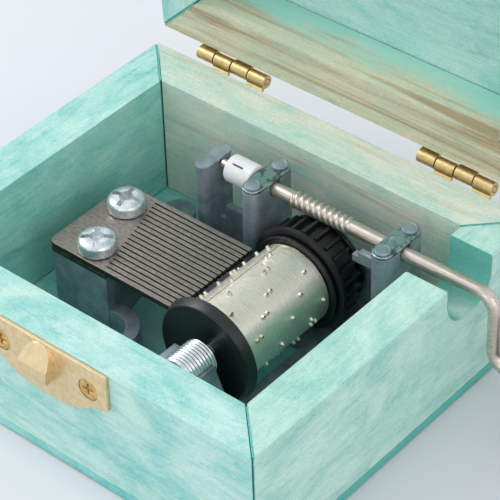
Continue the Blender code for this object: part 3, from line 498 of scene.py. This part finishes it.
sleeve_low, sleeve_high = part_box("cylinder_sleeve")
front, rear = sleeve_low.y, sleeve_high.y
cylinder_axis = Vector(((sleeve_low.x + sleeve_high.x) / 2, 0, (sleeve_low.z + sleeve_high.z) / 2))

# The brushing stretches every highlight into a band along the sleeve, broken by fine scratches.
nickel = bare_material("brushed_nickel")
place = add(nickel, "ShaderNodeTexCoord").outputs["Object"]
place = add(nickel, "ShaderNodeVectorMath", {0: place, 1: cylinder_axis}, operation="SUBTRACT")
apart = add(nickel, "ShaderNodeSeparateXYZ", {0: place})
girth = add(nickel, "ShaderNodeMath", {0: apart.outputs["Z"], 1: apart.outputs["X"]}, operation="ARCTAN2")
girth = add(nickel, "ShaderNodeMath", {0: girth, 1: SCRATCHES_PER_TURN}, operation="MULTIPLY")
along = add(nickel, "ShaderNodeMath", {0: apart.outputs["Y"], 1: 1 / SCRATCH_APART}, operation="MULTIPLY")
wound = add(nickel, "ShaderNodeCombineXYZ", {0: girth, 1: along})
brushing = {"Vector": wound, "Scale": 1.0, "Detail": 4, "Roughness": 0.6, "Distortion": 0.0}
brushing = add(nickel, "ShaderNodeTexNoise", brushing)
brushing = add(nickel, "ShaderNodeMapRange", {"Value": brushing, "From Min": 0.32, "From Max": 0.68})
wear = patches(nickel, 2.2 * MM, 5 * MM, "Y", 0.0, 0.35, 0.65, 5)
colour = tinted(nickel, "#f6eee2", brushing, "#bfb4a4", 0.55)
rough = add(nickel, "ShaderNodeMapRange", {"Value": wear, "To Min": 0.33, "To Max": 0.42})
bump = add(nickel, "ShaderNodeBump", {"Height": brushing, "Strength": 0.9, "Distance": 0.04 * MM})
finish(nickel, {"Base Color": colour, "Metallic": 1.0, "Roughness": rough, "Normal": bump})

# The hole beside each pin is so small and deep that no light comes back from it.
pin_hole = bare_material("pin_hole")
finish(pin_hole, {"Base Color": linear("#1d1d1a"), "Roughness": 0.7})


def round_cylinder(angle, along, radius):
    """A place on the cylinder whose Z axis points straight out of it."""
    out = Matrix.Rotation(math.radians(90 - angle), 4, "Y") @ Matrix.Translation((0, 0, radius))
    return Matrix.Translation(cylinder_axis + Vector((0, along, 0))) @ out


def copies(first, places, name):
    """Copies a piece to each of these places, each copy with its own mesh, and joins them."""
    made = []
    for place in places:
        piece = first.copy()
        piece.data = first.data.copy()
        piece.data.transform(place)
        bpy.context.collection.objects.link(piece)
        made.append(piece)
    bpy.data.objects.remove(first)
    bpy.ops.object.select_all(action="DESELECT")
    for piece in made:
        piece.select_set(True)
    bpy.context.view_layer.objects.active = made[0]
    bpy.ops.object.join()
    bpy.context.object.name = name
    return bpy.context.object


shell = [(SLEEVE_RADIUS - SLEEVE_WALL, front), (SLEEVE_RADIUS, front), (SLEEVE_RADIUS, rear)]
shell += [(SLEEVE_RADIUS - SLEEVE_WALL, rear)]
sleeve = lathe("pinned_sleeve", "Y", cylinder_axis, shell, 128)
seam = round_cylinder(SEAM_ANGLE, (front + rear) / 2, SLEEVE_RADIUS)
cut_away(sleeve, block((SEAM_WIDTH, rear - front - 0.6 * MM, 0.7 * MM), seam))
notch = round_cylinder(SEAM_ANGLE - 4, rear - 0.55 * MM, SLEEVE_RADIUS)
cut_away(sleeve, block((1.7 * MM, 0.55 * MM, 0.5 * MM), notch))
bpy.ops.object.shade_smooth_by_angle(angle=math.radians(30))
dress(sleeve, nickel, "nickel", "cylinder", "cylinder_sleeve")

pin_shape = [(0.46 * MM, -0.05 * MM), (0.4 * MM, 0.1 * MM), (PIN_RADIUS + 0.06 * MM, 0.2 * MM)]
pin_shape += [(PIN_RADIUS, PIN_TOP - 0.08 * MM), (0.8 * PIN_RADIUS, PIN_TOP)]
pin_shape += [(0.62 * PIN_RADIUS, PIN_TOP), (0.6 * PIN_RADIUS, PIN_TOP - 0.3 * MM)]
pitch = (rear - front - 1.2 * MM) / TRACKS
pin_places = []
for track in range(TRACKS):
    angles = [(track * 47 + turn * 122 + 23 * (track % 3)) % 360 for turn in range(3)]
    if track % 3 == 1:
        angles.append(141)
    if track % 4 == 2:
        angles.append((angles[0] + 9) % 360)
    along = front + 0.9 * MM + track * pitch
    pin_places += [round_cylinder(angle, along, SLEEVE_RADIUS) for angle in angles]
pins = copies(lathe("pin", "Z", (0, 0, 0), pin_shape, 10, 50), pin_places, "music_pins")
dress(pins, nickel, "nickel", "cylinder")
pins.data.materials.append(pin_hole)
for polygon in pins.data.polygons:
    polygon.material_index = int(len(polygon.vertices) > 4)


# ---------------------------------------------------------------- cap, drive wheel and arbor
# Black moulded acetal with a soft sheen and a little pale dust. The cap closes the sleeve's front end;
# the wheel carries a flange, the teeth that the worm turns, and a thin rear rim, on a steel arbor.

WHEEL_TEETH = 24
TOOTH = Vector((0.85, 3.9, 1.0)) * MM
TOOTH_MIDDLE = 14.4 * MM
TOOTH_RADIUS = 8.35 * MM

black = bare_material("black_acetal")
grain = patches(black, 0.25 * MM, 0.25 * MM, "X", 0.0, 0.3, 0.7, 3)
dust = patches(black, 0.5 * MM, 0.5 * MM, "X", 6.0, 0.74, 0.8, 2)
colour = tinted(black, "#0b0c0d", dust, "#8d8f90", 0.6)
rough = add(black, "ShaderNodeMapRange", {"Value": grain, "To Min": 0.34, "To Max": 0.46})
bump = add(black, "ShaderNodeBump", {"Height": grain, "Strength": 0.2, "Distance": 0.01 * MM})
sheen = {"Coat Weight": 0.05, "Coat Roughness": 0.3}
finish(black, {"Base Color": colour, "Roughness": rough, "Normal": bump, **sheen})

low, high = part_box("front_cap")
rim = (high.x - low.x) / 2
lip, back_face = low.y, front - 0.2 * MM
cup = [(3.0 * MM, front + 1.2 * MM), (6.4 * MM, front + 1.2 * MM), (6.4 * MM, back_face)]
cup += [(rim - 0.12 * MM, back_face), (rim, back_face - 0.15 * MM)]
cup += [(rim - 0.04 * MM, back_face - 0.4 * MM)]
cup += [(rim - 0.5 * MM, lip + 0.3 * MM), (rim - 0.62 * MM, lip + 0.08 * MM), (rim - 0.75 * MM, lip)]
cup += [(rim - 0.9 * MM, lip + 0.04 * MM), (rim - 1.05 * MM, lip + 0.2 * MM)]
cup += [(rim - 1.5 * MM, lip + 0.5 * MM)]
cup += [(5.5 * MM, lip + 1.0 * MM), (3.6 * MM, lip + 1.35 * MM), (1.2 * MM, lip + 1.4 * MM)]
cap = lathe("cylinder_cap", "Y", cylinder_axis, cup, 128, 40)
dress(cap, black, "black_plastic", "cylinder", "front_cap")

hub = [(2.0 * MM, rear - 1.3 * MM), (6.4 * MM, rear - 1.3 * MM), (6.4 * MM, rear + 0.2 * MM)]
hub += [(8.1 * MM, rear + 0.2 * MM), (8.2 * MM, rear + 0.3 * MM), (8.2 * MM, rear + 0.65 * MM)]
hub += [(7.6 * MM, rear + 0.75 * MM), (7.6 * MM, 11.1 * MM), (9.0 * MM, 11.1 * MM)]
hub += [(9.2 * MM, 11.25 * MM), (9.2 * MM, 11.95 * MM), (9.0 * MM, 12.1 * MM)]
hub += [(8.0 * MM, 12.2 * MM), (8.0 * MM, 16.2 * MM)]
hub += [(7.2 * MM, 16.6 * MM), (7.2 * MM, 17.2 * MM), (7.9 * MM, 17.2 * MM), (8.0 * MM, 17.35 * MM)]
hub += [(8.0 * MM, 17.9 * MM), (7.6 * MM, 18.0 * MM), (7.2 * MM, 17.7 * MM), (2.0 * MM, 17.6 * MM)]
wheel = lathe("drive_wheel_body", "Y", cylinder_axis, hub, 128, 40)
dress(wheel, black, "black_plastic", "cylinder", "drive_wheel")

tooth = block(TOOTH, Matrix())
bpy.ops.object.mode_set(mode="EDIT")
bpy.ops.mesh.select_all(action="DESELECT")
bpy.ops.object.mode_set(mode="OBJECT")
for face in tooth.data.polygons:
    face.select = face.normal.z > 0.9
bpy.ops.object.mode_set(mode="EDIT")
bpy.ops.transform.resize(value=(0.62, 0.94, 1))
bpy.ops.mesh.select_all(action="SELECT")
bpy.ops.mesh.bevel(offset=0.1 * MM, segments=2)
bpy.ops.object.mode_set(mode="OBJECT")
turns = [90 + 360 / WHEEL_TEETH * count for count in range(WHEEL_TEETH)]
seats = [round_cylinder(angle, TOOTH_MIDDLE, TOOTH_RADIUS) for angle in turns]
dress(copies(tooth, seats, "drive_wheel_teeth"), black, "black_plastic", "cylinder")
clad(["cylinder_arbor"], bright_zinc, 0.1 * MM)


# ---------------------------------------------------------------- front bearing stud
# A bright zinc plated stud pressed into the casting's fork, with fine turned ribs along it. The
# cylinder's front end turns on it.

RIB = 0.62 * MM

low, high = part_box("bearing_stud")
radius = (high.x - low.x) / 2
ribs = [(0.8 * radius, low.y), (0.93 * radius, low.y + 0.15 * MM)]
along = low.y + 0.4 * MM
while along < high.y - 0.9 * MM:
    ribs += [(0.94 * radius, along), (radius, along + 0.32 * RIB), (radius, along + 0.62 * RIB)]
    ribs += [(0.94 * radius, along + 0.9 * RIB)]
    along += RIB
ribs += [(0.97 * radius, high.y - 0.35 * MM), (0.9 * radius, high.y - 0.1 * MM), (0.8 * radius, high.y)]
ribs += [(0.36 * radius, high.y)]
stud = lathe("ribbed_stud", "Y", cylinder_axis, ribs, 72, 50)
dress(stud, bright_zinc, "zinc_plated_steel", "box", "bearing_stud")


# ---------------------------------------------------------------- crank wire and worm
# One nickel plated steel wire, warm grey with draw marks along it, bent twice into an arm. The worm is
# rolled on it: two rounded threads that wind round together and run out at their ends.

WIRE_RADIUS = 1.17 * MM
SHAFT_Z = 22.0 * MM
HANDLE_Z = 9.0 * MM
ARM_X = 44.1 * MM
BEND = 3.0 * MM
BEND_STEPS = 12
WORM_LEAD = 2.33 * MM
WORM_LENGTH = 12.4 * MM
WORM_CREST = 1.5 * MM
THREAD_RADIUS = 0.42 * MM
THREAD_STEPS = 150
RUN_OUT = 0.3 * WORM_LEAD

wire_nickel = bare_material("nickel_wire")
draw = patches(wire_nickel, 0.18 * MM, 1.6 * MM, "X", 0.0, 0.3, 0.7, 4)
colour = tinted(wire_nickel, "#ddd3c8", draw, "#97897c", 0.6)
rough = add(wire_nickel, "ShaderNodeMapRange", {"Value": draw, "To Min": 0.26, "To Max": 0.4})
bump = add(wire_nickel, "ShaderNodeBump", {"Height": draw, "Strength": 0.35, "Distance": 0.02 * MM})
finish(wire_nickel, {"Base Color": colour, "Metallic": 0.85, "Roughness": rough, "Normal": bump})

low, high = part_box("crank_shaft")
shaft_y = (low.y + high.y) / 2
nub_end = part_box("shaft_collar")[0].x
route = [(nub_end, SHAFT_Z), (ARM_X - BEND, SHAFT_Z)]
for step in range(1, BEND_STEPS + 1):
    angle = math.pi / 2 * step / BEND_STEPS
    route.append((ARM_X - BEND + BEND * math.sin(angle), SHAFT_Z - BEND + BEND * math.cos(angle)))
for step in range(BEND_STEPS + 1):
    angle = math.pi / 2 * step / BEND_STEPS
    route.append((ARM_X + BEND - BEND * math.cos(angle), HANDLE_Z + BEND - BEND * math.sin(angle)))
route.append((high.x, HANDLE_Z))
line = bpy.data.curves.new("crank_wire", "CURVE")
line.dimensions = "3D"
line.bevel_depth = WIRE_RADIUS
line.bevel_resolution = 6
line.use_fill_caps = True
spline = line.splines.new("POLY")
spline.points.add(len(route) - 1)
for point, (x, z) in zip(spline.points, route):
    point.co = (x, shaft_y, z, 1)
wire = bpy.data.objects.new("crank_wire", line)
bpy.context.collection.objects.link(wire)
bpy.ops.object.select_all(action="DESELECT")
bpy.context.view_layer.objects.active = wire
wire.select_set(True)
bpy.ops.object.convert(target="MESH")
bpy.ops.object.shade_smooth_by_angle(angle=math.radians(40))
dress(bpy.context.object, wire_nickel, "nickel", "crank", "crank_shaft")
nub = [(0.55 * MM, low.x), (0.75 * MM, low.x + 0.2 * MM), (0.8 * MM, low.x + 0.35 * MM)]
nub += [(0.8 * MM, nub_end + 0.3 * MM)]
dress(lathe("shaft_nub", "X", (0, shaft_y, SHAFT_Z), nub, 40), wire_nickel, "nickel", "crank")

worm_start = Vector((cylinder_axis.x - WORM_LENGTH / 2, shaft_y, SHAFT_Z))
for name, turn in (("worm_thread_a", 0), ("worm_thread_b", math.pi)):
    bpy.ops.object.select_all(action="DESELECT")
    bpy.ops.mesh.primitive_circle_add(vertices=16, radius=1, location=(0, 0, 0), fill_type="NOTHING")
    thread = bpy.context.object
    thread.name = name
    ridge = Matrix.Diagonal((THREAD_RADIUS, THREAD_RADIUS, 1, 1))
    thread.data.transform(Matrix.Rotation(math.pi / 2, 4, "X") @ ridge)
    thread.data.transform(Matrix.Translation((WORM_CREST - THREAD_RADIUS, 0, 0)))
    winding = thread.modifiers.new("thread", "SCREW")
    winding.axis = "Z"
    winding.angle = 2 * math.pi * (WORM_LENGTH / WORM_LEAD)
    winding.screw_offset = WORM_LENGTH
    winding.steps = THREAD_STEPS
    winding.render_steps = THREAD_STEPS
    winding.use_merge_vertices = False
    bpy.ops.object.modifier_apply(modifier=winding.name)
    bpy.ops.object.mode_set(mode="EDIT")
    bpy.ops.mesh.select_all(action="SELECT")
    bpy.ops.mesh.fill_holes(sides=0)
    bpy.ops.mesh.normals_make_consistent(inside=False)
    bpy.ops.object.mode_set(mode="OBJECT")
    for vertex in thread.data.vertices:
        inset = min(vertex.co.z, WORM_LENGTH - vertex.co.z) / RUN_OUT
        if inset < 1:
            vertex.co.xy *= 0.72 + 0.28 * max(inset, 0)
    spin = Matrix.Rotation(math.pi / 2, 4, "Y") @ Matrix.Rotation(turn, 4, "Z")
    thread.data.transform(Matrix.Translation(worm_start) @ spin)
    bpy.ops.object.shade_smooth_by_angle(angle=math.radians(60))
    dress(thread, wire_nickel, "nickel", "crank")


# ---------------------------------------------------------------- collar, crank knob and its retainer
# The collar is matt white nylon with a slit, pushed on the wire. The knob is turned from black plastic
# and runs freely between the arm and a pressed steel retainer.

# Light goes a little way into nylon, so its edges look soft and its shadows pale.
nylon = bare_material("white_nylon")
bloom = patches(nylon, 0.7 * MM, 0.7 * MM, "X", 0.0, 0.3, 0.7, 3)
colour = tinted(nylon, "#e2e2e4", bloom, "#cfcecd", 0.4)
glow = {"Subsurface Weight": 0.15, "Subsurface Scale": 0.8 * MM}
finish(nylon, {"Base Color": colour, "Roughness": 0.48, **glow})
clad(["shaft_collar"], nylon, 0.12 * MM)

low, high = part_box("crank_knob")
start, end = low.x, high.x
radius = (high.y - low.y) / 2
grip = [(1.4 * MM, start), (0.66 * radius, start), (0.7 * radius, start + 0.2 * MM)]
grip += [(0.7 * radius, start + 1.3 * MM), (0.78 * radius, start + 2.4 * MM)]
grip += [(0.9 * radius, start + 4.0 * MM), (0.98 * radius, start + 5.6 * MM)]
grip += [(radius, start + 6.8 * MM), (0.99 * radius, start + 7.8 * MM)]
grip += [(0.95 * radius, start + 8.6 * MM), (0.86 * radius, end - 0.6 * MM)]
grip += [(0.78 * radius, end - 0.2 * MM), (0.66 * radius, end), (1.4 * MM, end)]
knob = lathe("knob_grip", "X", (0, shaft_y, HANDLE_Z), grip, 72, 40)
dress(knob, black, "black_plastic", "knob", "crank_knob")
clad(["knob_retainer"], bright_zinc, 0.1 * MM)


# ---------------------------------------------------------------- table, light and camera
# A plain pale sheet under soft light from all round, with a large key light at the upper left, and a
# long lens.

TABLE_BELOW = 0.2 * MM
LIT_POINT = Vector((0, 0, 20 * MM))
CAMERA_LENS = 171.84
CAMERA_PLACE = (0.19675, -0.21073, 0.25820)
CAMERA_AZIMUTH, CAMERA_ELEVATION, CAMERA_ROLL = (math.radians(angle) for angle in (41.51, 39.59, -1.98))

bpy.ops.object.select_all(action="DESELECT")
bpy.ops.mesh.primitive_plane_add(size=6, location=(0, 0, -TABLE_BELOW))
table = bpy.context.object
table.name = "table"
paper = bare_material("pale_table")
finish(paper, {"Base Color": linear("#d5d6d9"), "Roughness": 0.8})
table.data.materials.append(paper)
table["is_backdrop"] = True

world = bpy.data.worlds.new("studio")
bpy.context.scene.world = world
world.use_nodes = True
sky = world.node_tree.nodes["Background"]
sky.inputs["Color"].default_value = linear("#eef2f6")
sky.inputs["Strength"].default_value = 1.05


def soft_light(name, place, size, power):
    """A square white light that faces the middle of the object."""
    bpy.ops.object.light_add(type="AREA", location=place)
    light = bpy.context.object
    light.name = name
    light.data.size = size
    light.data.energy = power
    light.rotation_euler = (Vector(place) - LIT_POINT).to_track_quat("Z", "Y").to_euler()


soft_light("key_light", (-1.5, -0.3, 1.3), 1.0, 18.0)
soft_light("front_light", (0.3, -1.8, 1.0), 1.2, 3.0)
soft_light("side_light", (1.6, -0.6, 0.9), 1.2, 5.0)

level = Vector((math.cos(CAMERA_AZIMUTH), math.sin(CAMERA_AZIMUTH), 0))
back = Vector((level.y, -level.x, 0)) * math.cos(CAMERA_ELEVATION)
back.z = math.sin(CAMERA_ELEVATION)
upright = back.cross(level)
right = level * math.cos(CAMERA_ROLL) + upright * math.sin(CAMERA_ROLL)
up = upright * math.cos(CAMERA_ROLL) - level * math.sin(CAMERA_ROLL)
bpy.ops.object.camera_add()
camera = bpy.context.object
camera.name = "camera"
camera.data.lens = CAMERA_LENS
camera.data.sensor_width = 36
camera.matrix_world = Matrix.Translation(CAMERA_PLACE) @ Matrix((right, up, back)).transposed().to_4x4()
bpy.context.scene.camera = camera
bpy.context.scene.view_settings.view_transform = "Standard"

low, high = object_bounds()
